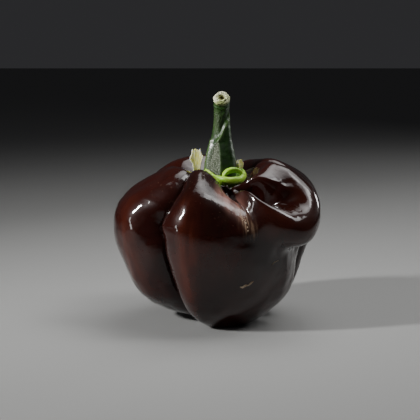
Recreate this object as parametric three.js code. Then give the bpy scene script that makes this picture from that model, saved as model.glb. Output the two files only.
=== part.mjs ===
// Chocolate habanero chilli pepper: a squat, lobed fruit with its stalk and torn calyx.
//
// Millimetres, +Z up. The fruit stands on z = 0, +X is its right side and -Y its front.
// Azimuths are in degrees, counter-clockwise from +X as seen from above.

import * as THREE from 'three';

// Driving dimensions.
const POD_RADIUS = 22.3; // half the side-to-side size of the fruit
const POD_HEIGHT = 34.2; // height of the shoulders above the ground
const POD_DEPTH_SHARE = 0.94; // front-to-back size over side-to-side size
const SEAT_SHIFT = 1.2; // how far the seat of the stalk lies right of the middle
const SEAT_SPREAD = 9; // distance from the seat over which that shift fades out
const SEAT_LEVELS = [0.6, 0.8]; // shares of the height between which it sets in
const STEM_RADIUS = 3.6; // half the width of the stalk's foot
const STEM_RIBS = 5;
const STEM_RIB_RISE = 0.1; // as a share of the stalk's radius
const STEM_TWIST = 50; // turn of the ribs from foot to tip, degrees
const STEM_RIBS_FADE = [0.7, 0.92]; // part of the stalk's length over which they die out
const STEM_FOOT_SHARE = 0.25; // part of the stalk's length over which its foot follows the calyx
const CALYX_RADIUS = 4.3; // reach of the calyx from the stalk's axis
const CALYX_SPREAD = 1.5; // further reach at its lip
const CALYX_LIP_AZIMUTH = 325;
const CALYX_THICKNESS = 0.8;
const CALYX_LIP = 0.9; // extra thickness of the lip
const CALYX_EDGE = 0.7; // squareness of the calyx's rounded edge: 1 is a full circle
const FLAP_THICKNESS = 0.7;
const CURL_WIDTH = 0.9;
const GAP = 0.33; // clearance between pieces that grow on each other

// Feet of the two upright flaps, and the way the right one faces.
const LEFT_FLAP_FOOT = [-4.2, 0.6, 33];
const RIGHT_FLAP_FOOT = [5.3, 1.5, 32.7];
const RIGHT_FLAP_TURN = 70;

// Place of the fruit's own axis in the frame, which puts the middle of the whole chilli on the origin.
const FRUIT_AXIS = [-0.22, 0.08, 0];

const ROUTE_STEPS = 12; // to each stretch between two stops of a fold
const POD_ROWS = 48;
const POD_COLUMNS = 68;
const CALYX_ROWS = 14;
const CALYX_COLUMNS = 40;
const STEM_COLUMNS = 30;
const FLAP_CORNERS = 6; // to each curve of a flap's outline
const CURL_STEPS = 10;
const CURL_CORNERS = 5; // to each half of the curl's cross section

const LOOKS = {
  skin: { color: 0x2e0f0a, roughness: 0.25 },
  stalk: { color: 0x2f5a1c, roughness: 0.45 },
  calyx: { color: 0x7fb83a, roughness: 0.4 },
  torn: { color: 0xe3e39a, roughness: 0.6 },
};

// Meridian of the fruit from the seat of the stalk to the middle of the underside,
// each point as shares of POD_RADIUS and POD_HEIGHT.
const MERIDIAN = [
  [0, 0.905],
  [0.135, 0.91],
  [0.28, 0.953],
  [0.45, 1],
  [0.67, 0.95],
  [0.885, 0.836],
  [0.995, 0.696],
  [1, 0.532],
  [0.93, 0.363],
  [0.79, 0.193],
  [0.6, 0.067],
  [0.4, 0.006],
  [0.19, 0.053],
  [0, 0.088],
];

// Outline of the stalk from the floor of its pith hollow over the cut end and down to its foot,
// each point as shares of STEM_RADIUS and of the length of its axis.
const STEM_MERIDIAN = [
  [0, 0.95],
  [0.15, 0.95],
  [0.19, 0.99],
  [0.36, 1],
  [0.5, 0.98],
  [0.57, 0.945],
  [0.55, 0.9],
  [0.48, 0.85],
  [0.46, 0.77],
  [0.48, 0.67],
  [0.52, 0.57],
  [0.58, 0.47],
  [0.67, 0.37],
  [0.79, 0.27],
  [0.89, 0.17],
  [0.97, 0.08],
  [1, 0.02],
  [0.97, 0],
  [0.5, 0],
  [0, 0],
];

// Axis of the stalk, upright and nodding forward at its cut end.
const STEM_LINE = [
  [0.75, 0, 32.5],
  [0.92, 0.1, 37],
  [1.15, 0.2, 42],
  [1.08, 0.1, 46.4],
  [1.09, -1.6, 48.8],
];

// Middle line of the curled sepal tip.
const CURL_LINE = [
  [1.9, -4.2, 33],
  [2.5, -4.2, 33.6],
  [3.4, -3.9, 33.8],
  [4.4, -3.3, 33.6],
  [5, -2.6, 33.2],
];

// Folds of the wall. Each follows a route over the plain fruit, and each stop of the route is
// [azimuth, way down the meridian from 0 to 1, height, half width]. A crease is a pressed-in
// line between two swollen walls, a swell is a soft rise or hollow, a dent has a level floor.
const FOLDS = [
  // Main creases: front-left, left-back, back and right.
  { kind: 'crease', stops: [
    [226, 0.08, 0.6, 3.5], [232, 0.17, 2.2, 5], [236, 0.26, 4.2, 6.4], [233, 0.34, 5.3, 7.6],
    [229, 0.42, 5.9, 8.6], [232, 0.5, 5.9, 8.6], [234, 0.61, 5.6, 8], [235, 0.74, 4.6, 7],
    [241, 0.84, 3.2, 5], [250, 0.92, 1, 3.5],
  ] },
  { kind: 'crease', stops: [
    [156, 0.08, 0.6, 3.5], [156, 0.2, 2.6, 6], [158, 0.34, 4, 8], [158, 0.5, 4, 8], [157, 0.68, 3.8, 8],
    [156, 0.84, 2.2, 5], [156, 0.93, 0.8, 3],
  ] },
  { kind: 'crease', stops: [
    [70, 0.08, 0.6, 3.5], [62, 0.2, 2.2, 6], [58, 0.34, 3.6, 8], [60, 0.5, 3.8, 8], [58, 0.68, 3.6, 8],
    [60, 0.84, 2.2, 5], [60, 0.93, 0.8, 3],
  ] },
  { kind: 'crease', stops: [
    [380, 0.08, 0.6, 2.4], [357, 0.17, 1.4, 3], [342, 0.25, 1.8, 3.6], [339, 0.32, 2.2, 4.2],
    [343, 0.39, 2.8, 4.8], [349, 0.46, 4, 5.5], [351, 0.54, 4.6, 6], [350, 0.66, 4.4, 6],
    [346, 0.8, 2.8, 6], [344, 0.92, 0.8, 3],
  ] },
  // Short crease that runs forward from the calyx beside the ear.
  { kind: 'crease', stops: [
    [276, 0.1, 0.4, 2], [281, 0.2, 1.2, 3], [283, 0.27, 1.6, 3.6], [286, 0.34, 1.2, 4],
    [288, 0.39, 0.6, 4], [291, 0.44, 0.2, 4],
  ] },
  // Hollow wall left of the front-left crease, and the rounded corner right of it.
  { kind: 'swell', stops: [
    [222, 0.26, -1, 5], [219, 0.4, -1.4, 5], [219, 0.6, -1.4, 5], [221, 0.76, -1, 5],
  ] },
  { kind: 'swell', stops: [
    [252, 0.2, 0.6, 4], [254, 0.3, 0.8, 4.4], [254, 0.45, 0.6, 5], [254, 0.62, 0.7, 5],
    [252, 0.76, 0.7, 4],
  ] },
  // Left lobe: sloping shoulder, full flank, lifted foot.
  { kind: 'swell', stops: [[170, 0.21, -1.2, 6], [195, 0.27, -1.5, 7]] },
  { kind: 'swell', stops: [[190, 0.6, -0.4, 7], [190, 0.7, -0.1, 7]] },
  { kind: 'swell', stops: [[180, 0.85, -1.2, 5], [215, 0.84, -1.6, 5]] },
  // Back lobe: high shoulder, lifted foot.
  { kind: 'swell', stops: [[135, 0.2, 0.6, 6], [105, 0.2, 0.8, 6]] },
  { kind: 'swell', stops: [[85, 0.85, -1.2, 4], [112, 0.85, -1.4, 4]] },
  // Right side: high shoulder, full top flank, slim lower flank.
  { kind: 'swell', stops: [[350, 0.2, 1.2, 7], [365, 0.27, 1.4, 7]] },
  { kind: 'swell', stops: [[345, 0.42, 0.6, 6], [370, 0.42, 1, 7]] },
  { kind: 'swell', stops: [
    [318, 0.6, -0.8, 8], [338, 0.58, -2.2, 7], [360, 0.56, -2, 8], [384, 0.6, -2, 8],
  ] },
  // Low front shoulder under the calyx lip, and the wide valley between the front lobe and the ear.
  { kind: 'swell', stops: [[270, 0.1, -1.4, 3.2], [277, 0.16, -3.2, 3.8], [283, 0.23, -3, 4]] },
  { kind: 'swell', stops: [[298, 0.08, -2.8, 3.8], [325, 0.095, -2.4, 3], [345, 0.09, -1.4, 2.6]] },
  { kind: 'swell', stops: [[288, 0.14, -1.6, 2.6], [303, 0.15, -3.1, 3], [320, 0.145, -2.6, 2.8]] },
  { kind: 'swell', stops: [[283, 0.28, -1.2, 5.5], [287, 0.36, -1.6, 5.5], [290, 0.43, -0.7, 5]] },
  // The ear: a curled rim around a dent, and the hollow under it.
  { kind: 'swell', stops: [
    [284, 0.22, 0.2, 1.4], [287, 0.28, 0.8, 2], [291, 0.33, 1.6, 2.8], [299, 0.39, 2.6, 3.4],
    [309, 0.425, 3.6, 3.9], [320, 0.415, 3.8, 4.1], [329, 0.37, 3.4, 3.7], [333, 0.31, 2.6, 3.2],
    [333, 0.26, 1.8, 2.8], [331, 0.22, 0.8, 2.4],
  ] },
  { kind: 'dent', stops: [
    [290, 0.23, -1.8, 3], [299, 0.28, -4.2, 4.4], [307, 0.325, -4.2, 4.6], [315, 0.35, -2, 3.8],
  ] },
  { kind: 'swell', stops: [
    [293, 0.43, 0.6, 3], [302, 0.445, 1.2, 3.2], [314, 0.455, 1.4, 3.4], [328, 0.45, 0.8, 3.2],
  ] },
  { kind: 'swell', stops: [
    [300, 0.5, -0.6, 4.5], [315, 0.51, -1.6, 4.5], [330, 0.51, -2, 4.5], [342, 0.51, -1.2, 4],
  ] },
  // The three places where the fruit touches the ground.
  { kind: 'swell', stops: [[278, 0.86, 0.9, 4]] },
  { kind: 'swell', stops: [[27, 0.86, 0.6, 4]] },
  { kind: 'swell', stops: [[134, 0.855, 1.7, 4]] },
];

const CREASE_SWELL = 1.7; // roundness of the walls that meet in a crease
const CREASE_TIP = 0.3; // softness of a crease's bottom, as a share of its half width
const DENT_WALL = 1; // share of a dent's half width that its wall takes

const meridian = new THREE.SplineCurve(
  MERIDIAN.map(([out, up]) => new THREE.Vector2(out * POD_RADIUS, up * POD_HEIGHT)),
);
meridian.arcLengthDivisions = 1000;

const stemLine = new THREE.CatmullRomCurve3(STEM_LINE.map((stop) => new THREE.Vector3(...stop)));

// Point and outward normal of the plain fruit.
function plainSurface(azimuth, way) {
  const { x: radius, y: height } = meridian.getPointAt(way);
  const along = meridian.getTangentAt(way);
  const angle = THREE.MathUtils.degToRad(azimuth);
  const cos = Math.cos(angle);
  const sin = Math.sin(angle);
  return {
    point: new THREE.Vector3(radius * cos, radius * sin, height),
    normal: new THREE.Vector3(-along.y * cos, -along.y * sin, along.x),
  };
}

// The stops of a fold as a fine chain of points on the plain fruit.
function routeOf(stops) {
  if (stops.length === 1) {
    const [azimuth, way, height, width] = stops[0];
    return [{ point: plainSurface(azimuth, way).point, height, width }];
  }
  const places = new THREE.SplineCurve(stops.map(([azimuth, way]) => new THREE.Vector2(azimuth, way)));
  const sizes = new THREE.SplineCurve(stops.map(([, , height, width]) => new THREE.Vector2(height, width)));
  const steps = ROUTE_STEPS * (stops.length - 1);
  const route = [];
  for (let step = 0; step <= steps; step += 1) {
    const place = places.getPoint(step / steps);
    const size = sizes.getPoint(step / steps);
    route.push({ point: plainSurface(place.x, place.y).point, height: size.x, width: size.y });
  }
  return route;
}

// Distance from a point to a route, with the route's height and width there.
function nearestOn(route, point) {
  if (route.length === 1) {
    return { distance: point.distanceTo(route[0].point), height: route[0].height, width: route[0].width };
  }
  let best = { distance: Infinity };
  const line = new THREE.Line3();
  const foot = new THREE.Vector3();
  for (let i = 1; i < route.length; i += 1) {
    line.set(route[i - 1].point, route[i].point);
    const share = line.closestPointToPointParameter(point, true);
    const distance = line.at(share, foot).distanceTo(point);
    if (distance < best.distance) {
      best = {
        distance,
        height: THREE.MathUtils.lerp(route[i - 1].height, route[i].height, share),
        width: THREE.MathUtils.lerp(route[i - 1].width, route[i].width, share),
      };
    }
  }
  return best;
}

// Cross sections of the folds: offset at a distance given in half widths.
const SECTIONS = {
  crease(height, off) {
    const soft = Math.sqrt(off * off + CREASE_TIP * CREASE_TIP) - CREASE_TIP;
    const depth = 1 - Math.min(soft, 1);
    return -height * (1 - (1 - depth * depth) ** (1 / CREASE_SWELL));
  },
  swell(height, off) {
    return height * Math.exp(-off * off);
  },
  dent(height, off) {
    return height * THREE.MathUtils.smoothstep((1 - off) / DENT_WALL, 0, 1);
  },
};

const folds = FOLDS.map(({ kind, stops }) => ({ section: SECTIONS[kind], route: routeOf(stops) }));

// Point of the folded wall, or of a layer that lies `out` millimetres over it.
function podSurface(azimuth, way, out = 0) {
  const { point, normal } = plainSurface(azimuth, way);
  let offset = out;
  for (const { section, route } of folds) {
    const { distance, height, width } = nearestOn(route, point);
    offset += section(height, distance / width);
  }
  point.addScaledVector(normal, offset);
  const fromSeat = Math.hypot(point.x, point.y) / SEAT_SPREAD;
  const upper = THREE.MathUtils.smoothstep(point.z / POD_HEIGHT, ...SEAT_LEVELS);
  point.x += SEAT_SHIFT * upper * Math.exp(-fromSeat * fromSeat);
  point.y *= POD_DEPTH_SHARE;
  point.z = Math.max(point.z, 0);
  return point;
}

// A closed mesh of `rows` by `columns` faces, whose points `place(azimuth, row)` gives,
// from the middle of its top, row 0, to the middle of its underside.
function wrappedMesh(rows, columns, place) {
  const geometry = new THREE.SphereGeometry(1, columns, rows);
  const { position } = geometry.attributes;
  for (let row = 0; row <= rows; row += 1) {
    const atMiddle = row === 0 || row === rows;
    for (let column = 0; column <= columns; column += 1) {
      const turn = atMiddle ? 0 : column % columns;
      const point = place((360 * turn) / columns + 180, row);
      position.setXYZ(row * (columns + 1) + column, point.x, point.y, point.z);
    }
  }
  geometry.computeVertexNormals();
  return geometry;
}

function podGeometry() {
  return wrappedMesh(POD_ROWS, POD_COLUMNS, (azimuth, row) => podSurface(azimuth, row / POD_ROWS));
}

// How much of the calyx lip an azimuth has: all of it at the front right, none at the back left.
function calyxLip(azimuth) {
  return Math.max(Math.cos(THREE.MathUtils.degToRad(azimuth - CALYX_LIP_AZIMUTH)), 0);
}

// The calyx is a saucer that lies on the fruit's seat, with a round edge and a thick lip in front.
function calyxGeometry() {
  const span = meridian.getLength();
  return wrappedMesh(CALYX_ROWS, CALYX_COLUMNS, (azimuth, row) => {
    const turn = (Math.PI * row) / CALYX_ROWS;
    const lip = calyxLip(azimuth);
    const reach = (CALYX_RADIUS + CALYX_SPREAD * lip) * Math.sin(turn) ** CALYX_EDGE;
    const up = (1 + Math.sign(Math.cos(turn)) * Math.abs(Math.cos(turn)) ** CALYX_EDGE) / 2;
    const rise = CALYX_LIP * lip * THREE.MathUtils.smoothstep(reach, STEM_RADIUS + GAP, CALYX_RADIUS + GAP);
    return podSurface(azimuth, reach / span, GAP + up * (CALYX_THICKNESS + rise));
  });
}

// Point of the stalk: rings across its axis, with ribs, and a foot that follows the calyx.
function stemPoint(azimuth, row) {
  const [wide, high] = STEM_MERIDIAN[row];
  const turn = THREE.MathUtils.degToRad(STEM_RIBS * (azimuth - STEM_TWIST * high));
  const ribbed = 1 - THREE.MathUtils.smoothstep(high, ...STEM_RIBS_FADE);
  const radius = STEM_RADIUS * wide * (1 + STEM_RIB_RISE * ribbed * Math.cos(turn));
  const centre = stemLine.getPointAt(high);
  const along = stemLine.getTangentAt(high);
  const across = new THREE.Vector3(1, 0, 0);
  const angle = THREE.MathUtils.degToRad(azimuth);
  const ring = centre.clone().addScaledVector(across, radius * Math.cos(angle));
  ring.addScaledVector(along.cross(across), radius * Math.sin(angle));
  const foot = podSurface(azimuth, radius / meridian.getLength(), 2 * GAP + CALYX_THICKNESS);
  foot.z += centre.z - stemLine.getPointAt(0).z;
  return foot.lerp(ring, THREE.MathUtils.smoothstep(high, 0, STEM_FOOT_SHARE));
}

function stemGeometry() {
  return wrappedMesh(STEM_MERIDIAN.length - 1, STEM_COLUMNS, stemPoint);
}

// A thin upright sheet of the given outline, its thickness centred on the XZ plane.
function sheetGeometry(outline) {
  const geometry = new THREE.ExtrudeGeometry(outline, {
    depth: FLAP_THICKNESS,
    bevelEnabled: false,
    curveSegments: FLAP_CORNERS,
  });
  geometry.rotateX(Math.PI / 2);
  geometry.translate(0, FLAP_THICKNESS / 2, 0);
  return geometry;
}

// Torn end of a sepal: waisted at the bottom, widest in the middle, ragged along the top.
function leftFlapGeometry() {
  const outline = new THREE.Shape();
  outline.moveTo(-0.9, 0);
  outline.quadraticCurveTo(-1.1, 0.9, -1.55, 1.9);
  outline.quadraticCurveTo(-1.2, 2.8, -1, 3.8);
  outline.lineTo(-0.75, 4);
  outline.lineTo(-0.2, 3.75);
  outline.lineTo(0.2, 4);
  outline.lineTo(0.75, 3.85);
  outline.quadraticCurveTo(0.9, 2.8, 1.4, 2.1);
  outline.quadraticCurveTo(0.95, 1, 0.9, 0);
  outline.closePath();
  return sheetGeometry(outline);
}

function rightFlapGeometry() {
  const outline = new THREE.Shape();
  outline.moveTo(-0.9, 0);
  outline.bezierCurveTo(-1.3, 1, -0.8, 1.9, 0, 1.9);
  outline.bezierCurveTo(0.9, 1.9, 1.3, 1, 0.9, 0);
  outline.closePath();
  return sheetGeometry(outline);
}

// Tip of the front sepal, rolled inward: a thick arch from the stalk's foot to the calyx lip.
function curlGeometry() {
  const section = new THREE.Shape();
  section.absellipse(0, 0, CURL_WIDTH / 2, CURL_WIDTH / 2, 0, 2 * Math.PI);
  const path = new THREE.CatmullRomCurve3(CURL_LINE.map((stop) => new THREE.Vector3(...stop)));
  return new THREE.ExtrudeGeometry(section, {
    steps: CURL_STEPS,
    curveSegments: CURL_CORNERS,
    bevelEnabled: false,
    extrudePath: path,
  });
}

function piece(name, geometry, look) {
  const mesh = new THREE.Mesh(geometry, new THREE.MeshStandardMaterial({ ...look, metalness: 0 }));
  mesh.name = name;
  return mesh;
}

const pod = piece('pod', podGeometry(), LOOKS.skin);
const stem = piece('stem', stemGeometry(), LOOKS.stalk);
const calyx = piece('calyx', calyxGeometry(), LOOKS.calyx);

const leftFlap = piece('calyx_flap_left', leftFlapGeometry(), LOOKS.torn);
leftFlap.position.set(...LEFT_FLAP_FOOT);

const rightFlap = piece('calyx_flap_right', rightFlapGeometry(), LOOKS.torn);
rightFlap.position.set(...RIGHT_FLAP_FOOT);
rightFlap.rotation.z = THREE.MathUtils.degToRad(RIGHT_FLAP_TURN);

const curl = piece('calyx_curl', curlGeometry(), LOOKS.calyx);

const chilli = new THREE.Group();
chilli.add(pod, stem, calyx, leftFlap, rightFlap, curl);
chilli.position.set(...FRUIT_AXIS);

export default chilli;
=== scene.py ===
"""A chocolate habanero chilli pepper on a pale floor: glossy lobed fruit, ribbed stalk, torn calyx.

The object stands at the frame's origin with +Z up, +X to its right and -Y to its front.
Azimuths are in degrees, counter-clockwise from +X as seen from above.
"""
import math

import bpy
import numpy as np
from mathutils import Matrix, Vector, noise


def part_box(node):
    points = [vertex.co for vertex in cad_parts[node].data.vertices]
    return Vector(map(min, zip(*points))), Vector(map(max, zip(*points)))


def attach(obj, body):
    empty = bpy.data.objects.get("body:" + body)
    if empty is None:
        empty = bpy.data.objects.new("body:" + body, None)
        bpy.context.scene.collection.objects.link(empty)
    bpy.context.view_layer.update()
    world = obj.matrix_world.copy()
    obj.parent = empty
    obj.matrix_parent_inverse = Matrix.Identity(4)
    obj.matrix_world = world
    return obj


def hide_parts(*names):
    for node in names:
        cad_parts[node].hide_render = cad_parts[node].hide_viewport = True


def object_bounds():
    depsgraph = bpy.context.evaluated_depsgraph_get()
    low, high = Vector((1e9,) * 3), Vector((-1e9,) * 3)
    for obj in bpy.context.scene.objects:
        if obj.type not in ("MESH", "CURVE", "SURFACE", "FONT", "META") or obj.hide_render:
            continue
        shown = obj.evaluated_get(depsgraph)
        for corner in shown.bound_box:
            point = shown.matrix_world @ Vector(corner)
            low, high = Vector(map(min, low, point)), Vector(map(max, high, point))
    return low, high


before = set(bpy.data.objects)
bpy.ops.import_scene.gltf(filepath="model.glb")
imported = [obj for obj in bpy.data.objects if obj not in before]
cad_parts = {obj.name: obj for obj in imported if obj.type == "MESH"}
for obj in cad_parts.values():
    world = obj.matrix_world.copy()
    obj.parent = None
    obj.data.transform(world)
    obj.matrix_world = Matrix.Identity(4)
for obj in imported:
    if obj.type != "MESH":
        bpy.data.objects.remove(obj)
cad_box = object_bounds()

# ---------------------------------------------------------------------------
# Fruit. One grown body with a thin leathery wall, swollen into lobes by the ribs inside it and
# pinched between them, with a taut waxy skin. It stands on three of its lobes, and the stalk grows
# out of the seat in the middle of its shoulders.
# ---------------------------------------------------------------------------

POD_ROWS = 250
POD_COLUMNS = 360
POD_RADIUS = 22.3  # mm, as are all sizes of the fruit until it is set into its place in the frame
POD_HEIGHT = 34.2
POD_DEPTH_SHARE = 0.94
SEAT_SHIFT = 1.2
SEAT_SPREAD = 9
CREASE_SWELL = 1.7

# Meridian from the seat of the stalk to the middle of the underside, as shares of the radius and height.
MERIDIAN = [
    (0, 0.905), (0.135, 0.91), (0.28, 0.953), (0.45, 1), (0.67, 0.95), (0.885, 0.836), (0.995, 0.696),
    (1, 0.532), (0.93, 0.363), (0.79, 0.193), (0.6, 0.067), (0.4, 0.006), (0.19, 0.053), (0, 0.088),
]

# Folds of the wall. Each follows a route over the plain fruit, whose stops are
# (azimuth, way down the meridian, height, half width).
MAIN_CREASES = [
    # front left, left back, back, right
    [(226, 0.08, 0.6, 3.5), (232, 0.17, 2.2, 5), (236, 0.26, 4.2, 6.4), (233, 0.34, 5.3, 7.6),
     (229, 0.42, 5.9, 8.6), (232, 0.5, 5.9, 8.6), (234, 0.61, 5.6, 8), (235, 0.74, 4.6, 7),
     (241, 0.84, 3.2, 5), (250, 0.92, 1, 3.5)],
    [(156, 0.08, 0.6, 3.5), (156, 0.2, 2.6, 6), (158, 0.34, 4, 8), (158, 0.5, 4, 8), (157, 0.68, 3.8, 8),
     (156, 0.84, 2.2, 5), (156, 0.93, 0.8, 3)],
    [(70, 0.08, 0.6, 3.5), (62, 0.2, 2.2, 6), (58, 0.34, 3.6, 8), (60, 0.5, 3.8, 8), (58, 0.68, 3.6, 8),
     (60, 0.84, 2.2, 5), (60, 0.93, 0.8, 3)],
    [(380, 0.08, 0.6, 2.4), (357, 0.17, 1.4, 3), (342, 0.25, 2, 3.2), (339, 0.32, 2.4, 3.6),
     (343, 0.39, 3, 4.2), (349, 0.46, 4, 5.5), (351, 0.54, 4.6, 6), (350, 0.66, 4.4, 6),
     (346, 0.8, 2.8, 6), (344, 0.92, 0.8, 3)],
]
BROAD_SWELLS = [
    # hollow wall left of the front-left crease, and the rounded corner right of it
    [(222, 0.26, -1, 5), (219, 0.4, -1.4, 5), (219, 0.6, -1.4, 5), (221, 0.76, -1, 5)],
    [(252, 0.2, 0.6, 4), (254, 0.3, 0.8, 4.4), (254, 0.45, 0.6, 5), (254, 0.62, 0.7, 5), (252, 0.76, 0.7, 4)],
    # left lobe: sloping shoulder, full flank, lifted foot
    [(170, 0.21, -1.2, 6), (195, 0.27, -1.5, 7)],
    [(190, 0.6, -0.4, 7), (190, 0.7, -0.1, 7)],
    [(180, 0.85, -1.2, 5), (215, 0.84, -1.6, 5)],
    # back lobe: high shoulder, lifted foot
    [(135, 0.2, 0.6, 6), (105, 0.2, 0.8, 6)],
    [(85, 0.85, -1.2, 4), (112, 0.85, -1.4, 4)],
    # right side: high shoulder, full top flank, slim lower flank
    [(350, 0.2, 1.2, 7), (365, 0.27, 1.4, 7)],
    [(345, 0.42, 0.6, 6), (370, 0.42, 1, 7)],
    [(318, 0.6, -0.8, 8), (338, 0.58, -2.2, 7), (360, 0.56, -2, 8), (384, 0.6, -2, 8)],
    # low front shoulder under the calyx lip
    [(270, 0.10, -1.4, 3.2), (277, 0.16, -3.2, 3.8), (283, 0.23, -3, 4)],
    [(298, 0.08, -2.8, 3.8), (325, 0.095, -2.4, 3), (345, 0.09, -1.4, 2.6)],
    [(288, 0.14, -1.6, 2.6), (303, 0.15, -3.1, 3), (320, 0.145, -2.6, 2.8)],
    # wide valley between the front lobe and the ear
    [(283, 0.28, -1.2, 5.5), (287, 0.36, -1.6, 5.5), (290, 0.43, -0.7, 5)],
    # hollow under the ear
    [(300, 0.5, -0.6, 4.5), (315, 0.51, -1.6, 4.5), (330, 0.51, -2, 4.5), (342, 0.51, -1.2, 4)],
    # the three feet
    [(278, 0.86, 0.9, 4)],
    [(27, 0.86, 0.6, 4)],
    [(134, 0.85, 1.6, 5.5)],
]
EAR_RIM = [(285, 0.2, 0.2, 1.4), (289, 0.255, 1, 1.8), (293, 0.31, 2, 2.2), (297, 0.36, 2.6, 2.8),
           (303, 0.4, 3, 3.4), (310, 0.425, 3.6, 3.9), (320, 0.415, 3.8, 4.1), (329, 0.37, 3.4, 3.7),
           (333, 0.31, 2.6, 3.2), (333, 0.26, 1.8, 2.8), (331, 0.22, 0.8, 2.4)]
EAR_BACK_GROOVE = [(357, 0.17, 0.4, 1.4), (346, 0.23, 0.8, 1.6), (340, 0.29, 1, 1.6), (339, 0.34, 1, 1.6),
                   (343, 0.4, 0.9, 1.8), (350, 0.45, 0.5, 2)]
FLANK_GROOVE = [(353, 0.49, 0.6, 1.8), (352, 0.56, 1.5, 2), (350, 0.64, 1.5, 2), (347, 0.74, 0.5, 2)]
EAR_CHIN = [(293, 0.43, 0.6, 3), (302, 0.445, 1.2, 3.2), (314, 0.455, 1.4, 3.4), (328, 0.45, 0.8, 3.2)]
EAR_DENT = [(294, 0.22, 2.4, 2.4), (301, 0.275, 5.4, 3.7), (308, 0.325, 5.8, 4.4), (315, 0.35, 2.8, 3.4)]
FRONT_CREASE = [(276, 0.1, 0.4, 1.6), (280, 0.18, 1.4, 2.2), (283, 0.25, 2.2, 2.4), (286, 0.31, 2, 2.6),
                (288, 0.36, 1, 2.8), (290, 0.42, 0.3, 3.4)]


def smooth_line(stops, steps):
    """Catmull-Rom curve through the stops, with `steps` points to each stretch."""
    stops = np.array(stops, float)
    padded = np.vstack([stops[:1], stops, stops[-1:]])
    t = np.linspace(0, 1, steps, endpoint=False)[:, None]
    parts = []
    for a, b, c, d in zip(padded, padded[1:], padded[2:], padded[3:]):
        bend = a - 2.5 * b + 2 * c - d / 2
        turn = 1.5 * (b - c) + (d - a) / 2
        parts.append(b + t * (c - a) / 2 + t ** 2 * bend + t ** 3 * turn)
    return np.vstack(parts + [stops[-1:]])


meridian = smooth_line(MERIDIAN, 100) * (POD_RADIUS, POD_HEIGHT)
meridian_way = np.concatenate([[0], np.cumsum(np.linalg.norm(np.diff(meridian, axis=0), axis=1))])
MERIDIAN_LENGTH = meridian_way[-1]
meridian_way /= MERIDIAN_LENGTH


def plain_surface(azimuth, way):
    """Points and outward normals of the plain fruit."""
    angle = np.radians(azimuth)
    out = np.interp(way, meridian_way, meridian[:, 0])
    up = np.interp(way, meridian_way, meridian[:, 1])
    step = 0.002
    ahead = np.clip(way + step, 0, 1)
    behind = np.clip(way - step, 0, 1)
    run = np.interp(ahead, meridian_way, meridian[:, 0]) - np.interp(behind, meridian_way, meridian[:, 0])
    drop = np.interp(behind, meridian_way, meridian[:, 1]) - np.interp(ahead, meridian_way, meridian[:, 1])
    length = np.hypot(run, drop)
    points = np.stack([out * np.cos(angle), out * np.sin(angle), up], -1)
    normals = np.stack([drop * np.cos(angle), drop * np.sin(angle), run], -1) / length[..., None]
    return points, normals


def along_route(points, stops, surface=plain_surface):
    """Distance from each point to a route, and the route's height and half width there."""
    stops = np.atleast_2d(np.array(stops, float))
    line = smooth_line(stops, 60) if len(stops) > 1 else stops
    route = surface(line[:, 0], line[:, 1])[0]
    flat = points.reshape(-1, 3)
    nearest = np.zeros(len(flat), int)
    reach = 4 * line[:, 3].max()
    close = np.flatnonzero(((flat > route.min(0) - reach) & (flat < route.max(0) + reach)).all(1))
    for part in np.array_split(close, max(1, len(close) // 8000)):
        gap = (flat[part] ** 2).sum(1)[:, None] + (route ** 2).sum(1) - 2 * flat[part] @ route.T
        nearest[part] = gap.argmin(1)
    distance = np.linalg.norm(flat - route[nearest], axis=1).reshape(points.shape[:-1])
    height = line[nearest, 2].reshape(points.shape[:-1])
    width = line[nearest, 3].reshape(points.shape[:-1])
    return distance, height, width


def crease(points, stops, tip=0.06):
    """A pressed-in line between two swollen walls."""
    distance, height, width = along_route(points, stops)
    off = distance / width
    soft = np.sqrt(off ** 2 + tip ** 2) - tip
    depth = 1 - np.minimum(soft, 1)
    return -height * (1 - (1 - depth ** 2) ** (1 / CREASE_SWELL))


def swell(points, stops, surface=plain_surface):
    """A soft rise, or a soft hollow where the height is negative."""
    distance, height, width = along_route(points, stops, surface)
    return height * np.exp(-(distance / width) ** 2)


def dent(points, stops, wall=0.8):
    """A hollow with a level floor."""
    distance, height, width = along_route(points, stops)
    down = np.clip((1 - distance / width) / wall, 0, 1)
    return -height * down ** 2 * (3 - 2 * down)


def grid_normals(grid):
    """Unit normals of a closed grid of points, rows from pole to pole."""
    down = np.gradient(grid, axis=0)
    round_ = np.roll(grid, -1, axis=1) - np.roll(grid, 1, axis=1)
    normals = np.cross(down, round_)
    normals[0] = normals[1].mean(0)
    normals[-1] = normals[-2].mean(0)
    return normals / np.linalg.norm(normals, axis=-1, keepdims=True)


way_grid, azimuth_grid = np.meshgrid(
    np.linspace(0, 1, POD_ROWS + 1), np.arange(POD_COLUMNS) * 360 / POD_COLUMNS, indexing="ij")
plain_points, plain_normals = plain_surface(azimuth_grid, way_grid)

broad = sum(crease(plain_points, stops) for stops in MAIN_CREASES)
broad = broad + sum(swell(plain_points, stops) for stops in BROAD_SWELLS)
fine = swell(plain_points, EAR_RIM) + swell(plain_points, EAR_CHIN) + dent(plain_points, EAR_DENT)
fine = fine + crease(plain_points, FRONT_CREASE, 0.15)
fine = fine + crease(plain_points, EAR_BACK_GROOVE, 0.1) + crease(plain_points, FLANK_GROOVE, 0.06)

# Slow uneven swelling of the wall, which breaks up the reflections in the skin.
unevenness = np.array([
    noise.noise(Vector(point) * 0.16) * 0.28 + noise.noise(Vector(point) * 0.42) * 0.1
    + noise.noise(Vector(point) * 1.1) * 0.02
    for point in plain_points.reshape(-1, 3)]).reshape(way_grid.shape)

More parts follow.
